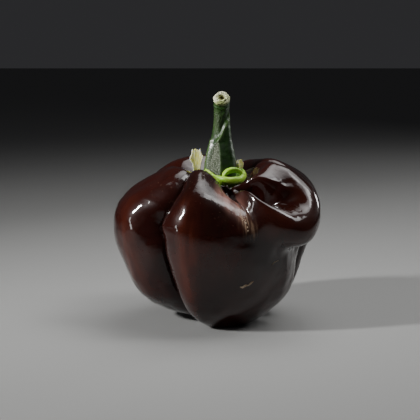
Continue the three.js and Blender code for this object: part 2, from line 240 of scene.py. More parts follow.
pod_grid = plain_points + plain_normals * broad[..., None]
pod_grid = pod_grid + grid_normals(pod_grid) * (fine + unevenness)[..., None]
from_seat = np.hypot(pod_grid[..., 0], pod_grid[..., 1]) / SEAT_SPREAD
upper = np.clip((pod_grid[..., 2] / POD_HEIGHT - 0.6) / 0.2, 0, 1)
pod_grid[..., 0] += SEAT_SHIFT * upper ** 2 * (3 - 2 * upper) * np.exp(-from_seat ** 2)
pod_grid[..., 1] *= POD_DEPTH_SHARE
pod_grid[..., 2] = np.maximum(pod_grid[..., 2], 0)

# Setting into the frame: the grown shape fills the pod's box.
pod_low, pod_high = (np.array(corner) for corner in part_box("pod"))
grown_low = pod_grid.min((0, 1))
grown_high = pod_grid.max((0, 1))
pod_grid = pod_low + (pod_grid - grown_low) * (pod_high - pod_low) / (grown_high - grown_low)


def in_mesh_order(values):
    """A grid's values in the order of its mesh's points, each pole once."""
    return np.concatenate([values[0, :1], values[1:-1].reshape(-1, *values.shape[2:]), values[-1, :1]])


def closed_mesh(name, grid, **masks):
    """Mesh round a grid of points whose first row is its top pole and whose last is its bottom pole."""
    rows, columns = grid.shape[:2]
    ring = 1 + np.arange((rows - 2) * columns).reshape(rows - 2, columns)
    after = np.roll(ring, -1, axis=1)
    last = (rows - 2) * columns + 1
    faces = [(0, a, b) for a, b in zip(ring[0].tolist(), after[0].tolist())]
    quads = np.stack([ring[:-1], ring[1:], after[1:], after[:-1]], -1)
    faces += quads.reshape(-1, 4).tolist()
    faces += [(last, b, a) for a, b in zip(ring[-1].tolist(), after[-1].tolist())]

    mesh = bpy.data.meshes.new(name)
    mesh.from_pydata(in_mesh_order(grid).tolist(), [], faces)
    mesh.update()
    mesh.shade_smooth()
    for mask, values in masks.items():
        layer = mesh.attributes.new(mask, "FLOAT", "POINT")
        layer.data.foreach_set("value", in_mesh_order(values).astype(np.float32))
    piece = bpy.data.objects.new(name, mesh)
    bpy.context.scene.collection.objects.link(piece)
    return piece


def on_fruit(azimuth, way, out=0.0):
    """Points of the skin, or of a layer `out` metres over it."""
    column = np.asarray(azimuth) % 360 * POD_COLUMNS / 360
    row = np.clip(np.asarray(way) * POD_ROWS, 0, POD_ROWS - 0.001)
    left = column.astype(int) % POD_COLUMNS
    right = (left + 1) % POD_COLUMNS
    above = row.astype(int)
    across = (column - column.astype(int))[..., None]
    down = (row - above)[..., None]

    def between(values):
        upper = values[above, left] * (1 - across) + values[above, right] * across
        lower = values[above + 1, left] * (1 - across) + values[above + 1, right] * across
        return upper * (1 - down) + lower * down

    return between(pod_grid) + between(pod_normals) * np.asarray(out)[..., None]


pod_normals = grid_normals(pod_grid)

# Where the skin is marked, and where soft streaks of light are painted on it: (azimuth, way, strength, half
# width in mm).
DUSTY = [(274, 0.24, 0.5, 2.2), (277, 0.28, 0.95, 2.6), (280, 0.33, 0.9, 2.6), (284, 0.38, 0.5, 2.2)]
STRETCHED = [(282.5, 0.35, 0.5, 1.0), (285, 0.385, 0.75, 1.1), (287, 0.42, 0.7, 1.1), (289, 0.445, 0.3, 1.1)]
ROUGH_CREST = [(246, 0.2, 0.3, 3), (258, 0.24, 0.45, 3.6), (268, 0.3, 0.5, 3.8), (276, 0.36, 0.4, 3.4)]
# Soft red streaks of light painted down the two front-left lobes, below the sharp highlights.
PAINTED_STREAK_ROUTES = [[(253, 0.36, 0.5, 2.2), (254, 0.46, 0.9, 2.4), (254, 0.62, 0.9, 2.6), (252, 0.74, 0.5, 2.4)],
             [(204, 0.36, 0.4, 2.4), (207, 0.48, 0.8, 2.6), (208, 0.62, 0.8, 2.8), (210, 0.74, 0.4, 2.4)]]
ROUGH_SHOULDER = [(214, 0.26, 0.5, 2.4), (226, 0.27, 0.5, 2.6), (238, 0.29, 0.3, 2.4)]

dusty = swell(plain_points, DUSTY)
stretched = swell(plain_points, STRETCHED)
scuffed = np.clip(swell(plain_points, ROUGH_SHOULDER) + swell(plain_points, ROUGH_CREST) + dusty, 0, 1)
red_band = sum(swell(plain_points, stops) for stops in PAINTED_STREAK_ROUTES)
# hollow: how deeply the skin is pressed in; it darkens the colour with painted shade and thins the coat.
hollow = np.clip(-(broad + np.minimum(fine, 0)) / 5, 0, 1)
# ridge: how far the skin stands out; the colour gives it a painted glow of back light.
ridge = np.clip((broad + fine) / 3.2, 0, 1)

pod = closed_mesh("fruit", pod_grid, dusty=dusty, stretched=stretched, scuffed=scuffed, hollow=hollow,
                  ridge=ridge, red_band=red_band)

# Places round and down the fruit, squeezed lengthwise so that a pattern on them runs from top to foot.
STREAK_STRETCH = 7
grown_way = np.stack([
    np.cos(np.radians(azimuth_grid)) * POD_RADIUS, np.sin(np.radians(azimuth_grid)) * POD_RADIUS,
    way_grid * MERIDIAN_LENGTH / STREAK_STRETCH], -1) / 1000
way_layer = pod.data.attributes.new("grown_way", "FLOAT_VECTOR", "POINT")
way_layer.data.foreach_set("vector", in_mesh_order(grown_way).astype(np.float32).ravel())


def put(tree, kind, inputs=(), **settings):
    """A new node with its settings, each socket joined to another node's or given a value."""
    made = tree.nodes.new(kind)
    for setting, value in settings.items():
        setattr(made, setting, value)
    for socket, value in dict(inputs).items():
        if isinstance(value, bpy.types.NodeSocket):
            tree.links.new(value, made.inputs[socket])
        else:
            made.inputs[socket].default_value = value
    return made


def blend(tree, share, first, second, how="MIX"):
    """Colour between two others."""
    mixed = put(tree, "ShaderNodeMix", data_type="RGBA", blend_type=how)
    for socket, value in ((0, share), (6, first), (7, second)):
        if isinstance(value, bpy.types.NodeSocket):
            tree.links.new(value, mixed.inputs[socket])
        else:
            mixed.inputs[socket].default_value = value
    return mixed.outputs[2]


def count(tree, how, first, second):
    """Result of one sum."""
    return put(tree, "ShaderNodeMath", {0: first, 1: second}, operation=how).outputs[0]


def spread(tree, value, low, high, to_low=0.0, to_high=1.0):
    """A value spread from one range over another, with soft ends."""
    ranged = put(tree, "ShaderNodeMapRange", {
        "Value": value, "From Min": low, "From Max": high, "To Min": to_low, "To Max": to_high,
    }, interpolation_type="SMOOTHSTEP")
    return ranged.outputs["Result"]


def mask_of(tree, name):
    """A mask that the mesh carries."""
    return put(tree, "ShaderNodeAttribute", attribute_name=name).outputs["Fac"]


# Shader group for grown tissue: two tones in soft patches, and a fine grain of cells.
tissue = bpy.data.node_groups.new("living_tissue", "ShaderNodeTree")
for socket, kind in (("Tone", "NodeSocketColor"), ("Other Tone", "NodeSocketColor"),
                     ("Patches", "NodeSocketFloat"), ("Cells", "NodeSocketFloat")):
    tissue.interface.new_socket(socket, in_out="INPUT", socket_type=kind)
for socket, kind in (("Colour", "NodeSocketColor"), ("Patch", "NodeSocketFloat"),
                     ("Grain", "NodeSocketFloat")):
    tissue.interface.new_socket(socket, in_out="OUTPUT", socket_type=kind)
given = put(tissue, "NodeGroupInput").outputs
place = put(tissue, "ShaderNodeTexCoord").outputs["Object"]
patches = put(tissue, "ShaderNodeTexNoise", {"Vector": place, "Scale": given["Patches"], "Detail": 5.0})
patch = spread(tissue, patches.outputs[0], 0.36, 0.66)
flecks = put(tissue, "ShaderNodeTexNoise", {"Vector": place, "Scale": given["Cells"], "Detail": 3.0})
cells = put(tissue, "ShaderNodeTexVoronoi", {"Vector": place, "Scale": given["Cells"]}, feature="SMOOTH_F1")
grain = count(tissue, "SUBTRACT", flecks.outputs[0],
              count(tissue, "MULTIPLY", cells.outputs["Distance"], 0.7))
share = count(tissue, "ADD", count(tissue, "MULTIPLY", patch, 0.75),
              count(tissue, "MULTIPLY", flecks.outputs[0], 0.25))
colour = blend(tissue, share, given["Tone"], given["Other Tone"])
put(tissue, "NodeGroupOutput", {"Colour": colour, "Patch": patch, "Grain": grain})


def tissue_material(name, tone, other_tone, patches, cells):
    """A material with its shader, and the tissue group placed in it with its own values."""
    material = bpy.data.materials.new(name)
    material.use_nodes = True
    tree = material.node_tree
    placed = put(tree, "ShaderNodeGroup", node_tree=tissue)
    for socket, value in (("Tone", tone), ("Other Tone", other_tone), ("Patches", patches), ("Cells", cells)):
        placed.inputs[socket].default_value = value
    return material, tree, tree.nodes["Principled BSDF"], placed.outputs


MAHOGANY = (0.009, 0.0014, 0.0009, 1)
RED_MAHOGANY = (0.026, 0.0034, 0.0015, 1)
UNRIPE_OLIVE = (0.014, 0.0062, 0.0018, 1)
RIDGE_PAINTED_GLOW = (0.120, 0.032, 0.010, 1)
HOLLOW_PAINTED_SHADE = (0.012, 0.0022, 0.0018, 1)
FRECKLE_TAN = (0.16, 0.085, 0.055, 1)
PAINTED_STREAK_RED = (0.065, 0.011, 0.0045, 1)
DUST_PINK = (0.27, 0.125, 0.10, 1)
CORK_CREAM = (0.44, 0.29, 0.19, 1)

skin, tree, shader, grown = tissue_material("chocolate_skin", MAHOGANY, RED_MAHOGANY, 95.0, 1500.0)
streaks = put(tree, "ShaderNodeTexNoise", {
    "Vector": put(tree, "ShaderNodeAttribute", attribute_name="grown_way").outputs["Vector"],
    "Scale": 620.0, "Detail": 4.0}).outputs[0]
waves = put(tree, "ShaderNodeTexNoise", {
    "Vector": put(tree, "ShaderNodeTexCoord").outputs["Object"], "Scale": 420.0, "Detail": 2.0}).outputs[0]
specks = put(tree, "ShaderNodeTexVoronoi", {
    "Vector": put(tree, "ShaderNodeTexCoord").outputs["Object"], "Scale": 1100.0}).outputs["Distance"]
colour = blend(tree, spread(tree, streaks, 0.45, 0.75, 0, 0.28), grown["Colour"], UNRIPE_OLIVE)
# Painted glow: the raised ridges are tinted warm orange, as if the rim light shone through the thin skin.
colour = blend(tree, count(tree, "MULTIPLY", mask_of(tree, "ridge"), 0.05), colour, RIDGE_PAINTED_GLOW)
# Painted light: soft red streaks down the front-left lobes, where the light from the left falls.
painted_streaked = count(tree, "MULTIPLY", mask_of(tree, "red_band"), spread(tree, streaks, 0.35, 0.65, 0.3, 0.8))
colour = blend(tree, painted_streaked, colour, PAINTED_STREAK_RED)
# Painted shade: the skin is darkened in the creases and hollows, where shade falls.
colour = blend(tree, count(tree, "MULTIPLY", mask_of(tree, "hollow"), 0.6), colour, HOLLOW_PAINTED_SHADE)
dust = count(tree, "MULTIPLY", spread(tree, mask_of(tree, "dusty"), 0.1, 0.8),
             spread(tree, streaks, 0.3, 0.6, 0.4, 1))
colour = blend(tree, dust, colour, DUST_PINK)
fine_streaks = put(tree, "ShaderNodeTexNoise", {
    "Vector": put(tree, "ShaderNodeAttribute", attribute_name="grown_way").outputs["Vector"],
    "Scale": 1700.0, "Detail": 3.0}).outputs[0]
split = count(tree, "MULTIPLY", mask_of(tree, "stretched"), spread(tree, fine_streaks, 0.48, 0.66, 0.1, 0.75))
colour = blend(tree, split, colour, CORK_CREAM)
freckle = count(tree, "MULTIPLY", mask_of(tree, "scuffed"), spread(tree, specks, 0.24, 0.12, 0, 0.45))
colour = blend(tree, freckle, colour, FRECKLE_TAN)
tree.links.new(colour, shader.inputs["Base Color"])
dull = count(tree, "ADD", count(tree, "MULTIPLY", mask_of(tree, "scuffed"), 0.25),
             spread(tree, grown["Patch"], 0, 1, 0.27, 0.38))
tree.links.new(count(tree, "ADD", dull, count(tree, "MULTIPLY", split, 0.3)), shader.inputs["Roughness"])
gloss = count(tree, "SUBTRACT", 1.0, count(tree, "MULTIPLY", mask_of(tree, "scuffed"), 0.12))
gloss = count(tree, "SUBTRACT", gloss, count(tree, "MULTIPLY", mask_of(tree, "hollow"), 0.25))
tree.links.new(count(tree, "SUBTRACT", gloss, count(tree, "MULTIPLY", split, 0.4)),
               shader.inputs["Coat Weight"])
relief = count(tree, "ADD", count(tree, "MULTIPLY", waves, 1.3),
               count(tree, "MULTIPLY", grown["Grain"], 0.35))
relief = count(tree, "ADD", relief, count(tree, "MULTIPLY", streaks, 0.5))
relief = count(tree, "ADD", relief, count(tree, "MULTIPLY", count(tree, "ADD", split, freckle), 1.6))
bump = put(tree, "ShaderNodeBump", {"Height": relief, "Strength": 0.5, "Distance": 0.00006})
tree.links.new(bump.outputs["Normal"], shader.inputs["Normal"])
tree.links.new(bump.outputs["Normal"], shader.inputs["Coat Normal"])
shader.inputs["Specular IOR Level"].default_value = 0.06
tree.links.new(spread(tree, mask_of(tree, "scuffed"), 0, 1, 0.05, 0.22), shader.inputs["Coat Roughness"])
pod.data.materials.append(skin)
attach(pod, "root")
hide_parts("pod")


# ---------------------------------------------------------------------------
# Cork on the skin. Where the fruit swelled faster than its skin, the skin split and healed over in
# small dry flecks and one wavy scar. They are cork, grown on the skin and standing a little proud.
# ---------------------------------------------------------------------------

FLECK_LENGTH = 0.0002
FLECKS_PER_AREA = 6.0e6  # in each square metre where the skin is marked most
SCAR = [(283.6, 0.619), (285.2, 0.621), (287.0, 0.615), (288.6, 0.616), (290.2, 0.608), (291.8, 0.604)]
SCAR_RADIUS = [0.00006, 0.0002, 0.00024, 0.00011, 0.0002, 0.00006]
SCRATCH = [(303, 0.556), (305, 0.549), (308, 0.545)]

cork, tree, shader, grown = tissue_material(
    "healed_cork", (0.72, 0.62, 0.45, 1), (0.30, 0.17, 0.10, 1), 900.0, 5200.0)
tree.links.new(grown["Colour"], shader.inputs["Base Color"])
tree.links.new(spread(tree, grown["Grain"], 0, 1, 0.55, 0.9), shader.inputs["Roughness"])
bump = put(tree, "ShaderNodeBump", {"Height": grown["Grain"], "Strength": 0.6, "Distance": 0.00005})
tree.links.new(bump.outputs["Normal"], shader.inputs["Normal"])
shader.inputs["Specular IOR Level"].default_value = 0.35

scatter = bpy.data.node_groups.new("scattered_flecks", "GeometryNodeTree")
scatter.interface.new_socket("Geometry", in_out="INPUT", socket_type="NodeSocketGeometry")
for socket, kind in (("Density", "NodeSocketFloat"), ("Length", "NodeSocketFloat"),
                     ("Flatness", "NodeSocketFloat"), ("Mask", "NodeSocketString"),
                     ("Seed", "NodeSocketInt"), ("Material", "NodeSocketMaterial")):
    scatter.interface.new_socket(socket, in_out="INPUT", socket_type=kind)
scatter.interface.new_socket("Geometry", in_out="OUTPUT", socket_type="NodeSocketGeometry")
given = put(scatter, "NodeGroupInput").outputs
where = put(scatter, "GeometryNodeInputNamedAttribute", {"Name": given["Mask"]}, data_type="FLOAT")
strong = put(scatter, "ShaderNodeMapRange", {
    "Value": where.outputs["Attribute"], "From Min": 0.45, "From Max": 1.0}, interpolation_type="SMOOTHSTEP")
points = put(scatter, "GeometryNodeDistributePointsOnFaces", {
    "Mesh": given["Geometry"], "Seed": given["Seed"],
    "Density": put(scatter, "ShaderNodeMath", {0: strong.outputs["Result"], 1: given["Density"]},
                   operation="MULTIPLY").outputs[0]})
fleck = put(scatter, "GeometryNodeMeshIcoSphere", {"Radius": 1.0, "Subdivisions": 2})
size = put(scatter, "FunctionNodeRandomValue", {"Seed": given["Seed"]}, data_type="FLOAT")
size.inputs[2].default_value = 0.35
size.inputs[3].default_value = 1.0
longer = put(scatter, "FunctionNodeRandomValue", {"Seed": 5}, data_type="FLOAT")
longer.inputs[2].default_value = 0.22
longer.inputs[3].default_value = 0.6
reach = put(scatter, "ShaderNodeMath", {0: size.outputs[1], 1: given["Length"]},
            operation="MULTIPLY").outputs[0]
thick = put(scatter, "ShaderNodeMath", {0: reach, 1: given["Flatness"]}, operation="MULTIPLY").outputs[0]
wide = put(scatter, "ShaderNodeMath", {0: reach, 1: longer.outputs[1]}, operation="MULTIPLY").outputs[0]
shape = put(scatter, "ShaderNodeCombineXYZ", {"X": wide, "Y": reach, "Z": thick})
flecks = put(scatter, "GeometryNodeInstanceOnPoints", {
    "Points": points.outputs["Points"], "Instance": fleck.outputs["Mesh"],
    "Rotation": points.outputs["Rotation"], "Scale": shape.outputs[0]})
real = put(scatter, "GeometryNodeRealizeInstances", {"Geometry": flecks.outputs["Instances"]})
smooth = put(scatter, "GeometryNodeSetShadeSmooth", {"Geometry": real.outputs["Geometry"]})
dressed = put(scatter, "GeometryNodeSetMaterial", {
    "Geometry": smooth.outputs["Geometry"], "Material": given["Material"]})
put(scatter, "NodeGroupOutput", {"Geometry": dressed.outputs["Geometry"]})


def grown_from(name, source, tree, **values):
    """Plain mesh of what a node tree makes from a source object."""
    source = source.copy()
    bpy.context.scene.collection.objects.link(source)
    modifier = source.modifiers.new(name, "NODES")
    modifier.node_group = tree
    sockets = {item.name: item.identifier for item in tree.interface.items_tree if item.in_out == "INPUT"}
    for socket, value in values.items():
        modifier[sockets[socket.replace("_", " ")]] = value
    depsgraph = bpy.context.evaluated_depsgraph_get()
    mesh = bpy.data.meshes.new_from_object(source.evaluated_get(depsgraph))
    mesh.name = name
    bpy.data.objects.remove(source)
    piece = bpy.data.objects.new(name, mesh)
    bpy.context.scene.collection.objects.link(piece)
    return piece


cork_flecks = grown_from("cork_flecks", pod, scatter, Density=FLECKS_PER_AREA, Length=FLECK_LENGTH,
                         Flatness=0.16, Mask="stretched", Seed=4, Material=cork)
dust_flecks = grown_from("dust_flecks", pod, scatter, Density=FLECKS_PER_AREA / 8, Length=FLECK_LENGTH * 0.3,
                         Flatness=0.2, Mask="scuffed", Seed=9, Material=cork)

# Round shoot swept along a line: ribs that fade in and turn round it, and its own measures left on it.
shoot = bpy.data.node_groups.new("ribbed_shoot", "GeometryNodeTree")
shoot.interface.new_socket("Geometry", in_out="INPUT", socket_type="NodeSocketGeometry")
for socket, kind in (("Sides", "NodeSocketInt"), ("Ribs", "NodeSocketInt"), ("Rib Height", "NodeSocketFloat"),
                     ("Twist", "NodeSocketFloat"), ("Material", "NodeSocketMaterial")):
    shoot.interface.new_socket(socket, in_out="INPUT", socket_type=kind)
shoot.interface.new_socket("Geometry", in_out="OUTPUT", socket_type="NodeSocketGeometry")


def work(how, first, second=0.0):
    """One sum in the shoot's tree."""
    return put(shoot, "ShaderNodeMath", {0: first, 1: second}, operation=how).outputs[0]


given = put(shoot, "NodeGroupInput").outputs
line_share = put(shoot, "GeometryNodeSplineParameter").outputs["Factor"]
line = put(shoot, "GeometryNodeStoreNamedAttribute", {
    "Geometry": given["Geometry"], "Name": "along", "Value": line_share}, data_type="FLOAT", domain="POINT")
ring = put(shoot, "GeometryNodeCurvePrimitiveCircle", {"Resolution": given["Sides"], "Radius": 1.0},
           mode="RADIUS")
ring_share = put(shoot, "GeometryNodeSplineParameter").outputs["Factor"]
ring = put(shoot, "GeometryNodeStoreNamedAttribute", {
    "Geometry": ring.outputs["Curve"], "Name": "around", "Value": ring_share},
    data_type="FLOAT", domain="POINT")
radius = put(shoot, "GeometryNodeInputRadius").outputs["Radius"]
tube = put(shoot, "GeometryNodeCurveToMesh", {
    "Curve": line.outputs["Geometry"], "Profile Curve": ring.outputs["Geometry"], "Scale": radius,
    "Fill Caps": True}).outputs["Mesh"]
along = put(shoot, "GeometryNodeInputNamedAttribute", {"Name": "along"},
            data_type="FLOAT").outputs["Attribute"]
around = put(shoot, "GeometryNodeInputNamedAttribute", {"Name": "around"},
             data_type="FLOAT").outputs["Attribute"]
turn = work("ADD", work("MULTIPLY", around, given["Ribs"]), work("MULTIPLY", along, given["Twist"]))
rib = work("COSINE", work("MULTIPLY", turn, 2 * math.pi))
fade = work("MULTIPLY", work("SMOOTH_MIN", work("MULTIPLY", along, 4.0), 1.0), work("SUBTRACT", 1.0, along))
rise = work("MULTIPLY", work("MULTIPLY", rib, fade), given["Rib Height"])
outward = put(shoot, "ShaderNodeVectorMath", {
    0: put(shoot, "GeometryNodeInputNormal").outputs[0]}, operation="SCALE")
shoot.links.new(rise, outward.inputs["Scale"])
ribbed = put(shoot, "GeometryNodeSetPosition", {"Geometry": tube, "Offset": outward.outputs[0]})
real = put(shoot, "GeometryNodeRealizeInstances", {"Geometry": ribbed.outputs["Geometry"]})
smooth = put(shoot, "GeometryNodeSetShadeSmooth", {"Geometry": real.outputs["Geometry"]})
dressed = put(shoot, "GeometryNodeSetMaterial", {
    "Geometry": smooth.outputs["Geometry"], "Material": given["Material"]})
put(shoot, "NodeGroupOutput", {"Geometry": dressed.outputs["Geometry"]})


def shoot_line(name, points, radii):
    """A line in space with the shoot's radius at each of its points."""
    curve = bpy.data.curves.new(name, "CURVE")
    curve.dimensions = "3D"
    spline = curve.splines.new("POLY")
    spline.points.add(len(points) - 1)
    for point, place, radius in zip(spline.points, points, radii):
        point.co = (*place, 1)
        point.radius = radius
    return bpy.data.objects.new(name, curve)


scar_line = smooth_line([(*stop, size) for stop, size in zip(SCAR, SCAR_RADIUS)], 12)
wavy_scar = grown_from(
    "wavy_scar",
    shoot_line("scar_line", on_fruit(scar_line[:, 0], scar_line[:, 1], 0.00002), scar_line[:, 2]),
    shoot, Sides=12, Ribs=3, Rib_Height=0.00004, Twist=7.0, Material=cork)
scratch_line = smooth_line([(*stop, 0.00008) for stop in SCRATCH], 14)
fine_scratch = grown_from(
    "fine_scratch",
    shoot_line("scratch_line", on_fruit(scratch_line[:, 0], scratch_line[:, 1]), scratch_line[:, 2]),
    shoot, Sides=8, Ribs=2, Rib_Height=0.00002, Twist=3.0, Material=cork)

for piece in (cork_flecks, dust_flecks, wavy_scar, fine_scratch):
    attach(piece, "root")


# ---------------------------------------------------------------------------
# Stalk. A tough green shoot, ribbed at its foot, half wrapped by a fold that winds up round it, with
# a silvery corky facet under the fold. It was cut from the plant, so its tip is a pale knob round a pith.
# ---------------------------------------------------------------------------

# Axis from the foot up and nodding forward to the cut, in mm, and the half width of the shoot there.
STALK = [
    (0.75, 0.0, 31.6, 3.62), (0.78, 0.0, 33.0, 3.5), (0.82, 0.0, 34.8, 3.22), (0.92, 0.05, 37.0, 2.8),
    (1.05, 0.15, 39.2, 2.24), (1.15, 0.2, 41.4, 1.86), (1.12, 0.25, 43.6, 1.66), (1.08, 0.2, 45.3, 1.6),
    (1.07, -0.1, 46.6, 1.6), (1.08, -0.75, 47.8, 1.74), (1.09, -1.4, 48.5, 1.76),
]
STALK_SIDES = 128
STALK_FOOT_X = 0.55  # the foot's place right of the frame's middle, in mm
CUT_EDGE = 1.76
CUT_ROUNDING = 0.5
PITH_RADIUS = 0.55
PITH_DEPTH = 0.75

# Marks and folds over the stalk: (azimuth, way from foot to tip, rise in mm, half width in mm).
WINDING_FOLD = [(345, 0.76, 0.1, 0.3), (339, 0.70, 0.26, 0.34), (312, 0.64, 0.26, 0.34),
                (286, 0.575, 0.28, 0.36), (262, 0.47, 0.3, 0.36), (250, 0.41, 0.3, 0.38),
                (258, 0.32, 0.24, 0.4), (266, 0.22, 0.24, 0.42), (270, 0.06, 0.2, 0.5)]
UNDER_FOLD = [(330, 0.73, -0.2, 0.7), (296, 0.68, -0.3, 0.8), (262, 0.58, -0.34, 0.8), (243, 0.5, -0.3, 0.7)]
CORK_FACET = [(248, 0.40, 0.7, 0.5), (245, 0.33, 1, 1.0), (245, 0.24, 1, 1.5), (247, 0.14, 1, 2.0),
              (251, 0.07, 0.9, 2.2)]
LEFT_SHEATH = [(196, 0.425, 0.34, 0.5), (200, 0.38, 0.3, 0.7), (205, 0.28, 0.26, 0.8), (211, 0.16, 0.24, 1),
               (214, 0.05, 0.2, 1)]
RIGHT_EDGE = [(352, 0.86, 0.1, 0.3), (350, 0.74, 0.16, 0.3), (352, 0.55, 0.18, 0.34), (350, 0.38, 0.2, 0.4),
              (348, 0.2, 0.2, 0.5)]
BACK_RIBS = [[(20, 0.05, 0.25, 0.8), (25, 0.5, 0.12, 0.6)], [(85, 0.05, 0.3, 0.9), (80, 0.6, 0.14, 0.6)],
             [(150, 0.05, 0.3, 0.9), (155, 0.62, 0.12, 0.6)]]
DRY_NECK = [(205, 0.86, 0.6, 1.2), (220, 0.74, 1, 1.5), (222, 0.6, 1, 1.5), (222, 0.5, 0.7, 1)]
CRACKED_COLLAR = [(200, 0.87, 0.25, 0.3), (240, 0.88, 0.2, 0.3), (282, 0.865, 0.28, 0.3),
                  (320, 0.88, 0.14, 0.3)]

STALK_GREEN = (0.005, 0.021, 0.002, 1)
NECK_OLIVE = (0.038, 0.065, 0.014, 1)
FOLD_PAINTED_HIGHLIGHT = (0.09, 0.16, 0.04, 1)
CORK_DARK = (0.045, 0.06, 0.025, 1)
CORK_SILVER = (0.20, 0.22, 0.165, 1)
CUT_IVORY = (0.78, 0.78, 0.58, 1)
CUT_GREEN = (0.36, 0.42, 0.15, 1)
PITH_BROWN = (0.17, 0.15, 0.05, 1)
BRIGHT_GREEN = (0.019, 0.078, 0.005, 1)
stalk_green, tree, shader, grown = tissue_material("stalk_green", STALK_GREEN, BRIGHT_GREEN, 260.0, 3000.0)
crackle = put(tree, "ShaderNodeTexVoronoi", {
    "Vector": put(tree, "ShaderNodeTexCoord").outputs["Object"], "Scale": 2600.0},
    feature="DISTANCE_TO_EDGE").outputs["Distance"]
colour = blend(tree, count(tree, "MULTIPLY", mask_of(tree, "neck"), 0.7), grown["Colour"], NECK_OLIVE)
# Painted highlight: the stalk's folds are coloured a lighter green, as if light caught their edges.
colour = blend(tree, count(tree, "MULTIPLY", mask_of(tree, "fold"), 0.5), colour, FOLD_PAINTED_HIGHLIGHT)
silver = blend(tree, spread(tree, crackle, 0.02, 0.22), CORK_DARK, CORK_SILVER)
colour = blend(tree, mask_of(tree, "facet"), colour, silver)
ivory = blend(tree, grown["Patch"], CUT_IVORY, CUT_GREEN)
colour = blend(tree, mask_of(tree, "pale"), colour, ivory)
colour = blend(tree, mask_of(tree, "well"), colour, PITH_BROWN)
tree.links.new(colour, shader.inputs["Base Color"])
dry = count(tree, "MAXIMUM", mask_of(tree, "facet"), mask_of(tree, "pale"))
dry = count(tree, "MAXIMUM", dry, count(tree, "MULTIPLY", mask_of(tree, "neck"), 0.6))
tree.links.new(spread(tree, dry, 0, 1, 0.4, 0.72), shader.inputs["Roughness"])
tree.links.new(spread(tree, dry, 0, 0.25, 0.2, 0), shader.inputs["Coat Weight"])
relief = count(tree, "ADD", grown["Grain"], count(tree, "MULTIPLY", count(
    tree, "MULTIPLY", spread(tree, crackle, 0, 0.2), mask_of(tree, "facet")), 2.0))
bump = put(tree, "ShaderNodeBump", {"Height": relief, "Strength": 0.7, "Distance": 0.00006})
tree.links.new(bump.outputs["Normal"], shader.inputs["Normal"])
shader.inputs["Coat Roughness"].default_value = 0.16

stalk_stops = smooth_line(STALK, 16)
cut_steps = np.linspace(0, 1, 46)[1:]
cut_normal = stalk_stops[-1, :3] - stalk_stops[-2, :3]
cut_normal /= np.linalg.norm(cut_normal)
cap_run = np.sin(cut_steps * math.pi / 2)
cap_size = np.cos(cut_steps * math.pi / 2).clip(0.01)
cap = np.hstack([stalk_stops[-1, :3] + cut_normal * CUT_ROUNDING * cap_run[:, None],
                 CUT_EDGE * cap_size[:, None]])
stalk_line = np.vstack([stalk_stops, cap])

stalk_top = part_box("stem")[1][2] * 1000
stalk_line[:, 0] += STALK_FOOT_X - stalk_line[0, 0]
tip_height = stalk_line[-1, 2] + CUT_EDGE * math.hypot(cut_normal[0], cut_normal[1])
stalk_line[:, 2] += stalk_top - tip_height

stalk = grown_from("stalk", shoot_line("stalk_line", stalk_line[:, :3] / 1000, stalk_line[:, 3] / 1000),
                   shoot, Sides=STALK_SIDES, Ribs=5, Rib_Height=0.00022, Twist=0.6, Material=stalk_green)

spine = stalk_line[:, :3]
spine_way = np.concatenate([[0], np.cumsum(np.linalg.norm(np.diff(spine, axis=0), axis=1))])
STALK_LENGTH = spine_way[-1]
spine_way /= STALK_LENGTH
forward = np.gradient(spine, axis=0)
forward /= np.linalg.norm(forward, axis=1, keepdims=True)
sideways = np.array([1.0, 0, 0]) - forward * forward[:, :1]
sideways /= np.linalg.norm(sideways, axis=1, keepdims=True)
backward = np.cross(forward, sideways)


def stalk_surface(azimuth, way):
    """Points and outward normals of the plain stalk."""
    angle = np.radians(azimuth)[..., None]

    def along_spine(values):
        return np.stack([np.interp(way, spine_way, values[:, k]) for k in range(3)], -1)

    normals = np.cos(angle) * along_spine(sideways) + np.sin(angle) * along_spine(backward)
    radius = np.interp(way, spine_way, stalk_line[:, 3])
    return along_spine(spine) + normals * radius[..., None], normals


points = np.zeros(len(stalk.data.vertices) * 3)
stalk.data.vertices.foreach_get("co", points)
points = points.reshape(-1, 3) * 1000
way = np.zeros(len(points))
stalk.data.attributes["along"].data.foreach_get("value", way)
centre = np.stack([np.interp(way, spine_way, spine[:, k]) for k in range(3)], -1)
axes = [np.stack([np.interp(way, spine_way, values[:, k]) for k in range(3)], -1)
        for values in (sideways, backward)]
azimuth = np.degrees(np.arctan2(((points - centre) * axes[1]).sum(1), ((points - centre) * axes[0]).sum(1)))
plain, out = stalk_surface(azimuth, way)

facet = np.clip(swell(plain, CORK_FACET, stalk_surface) * 1.5, 0, 1) ** 2
facet *= np.clip((((267 - azimuth % 360) + 5 * np.sin(9 * way)) / 5), 0, 1)
neck = np.clip(swell(plain, DRY_NECK, stalk_surface), 0, 1)
rise = sum(swell(plain, stops, stalk_surface) for stops in (WINDING_FOLD, UNDER_FOLD, LEFT_SHEATH, RIGHT_EDGE,
                                                            CRACKED_COLLAR, *BACK_RIBS))
# fold: where the folds stand out on the stalk, which the colour lights with a painted highlight.
fold = np.clip(sum(swell(plain, stops, stalk_surface)
                   for stops in (WINDING_FOLD, LEFT_SHEATH, RIGHT_EDGE)) * 3, 0, 1)
rough = np.array([[noise.noise(Vector(place) * scale) for scale in (1.1, 2.6, 5)] for place in plain])
rise += -0.42 * facet + facet * (0.16 * np.abs(rough[:, 1]) + 0.14 * np.abs(rough[:, 2]))
rise += neck * (0.12 * rough[:, 1] + 0.08 * rough[:, 2]) + 0.05 * rough[:, 0]

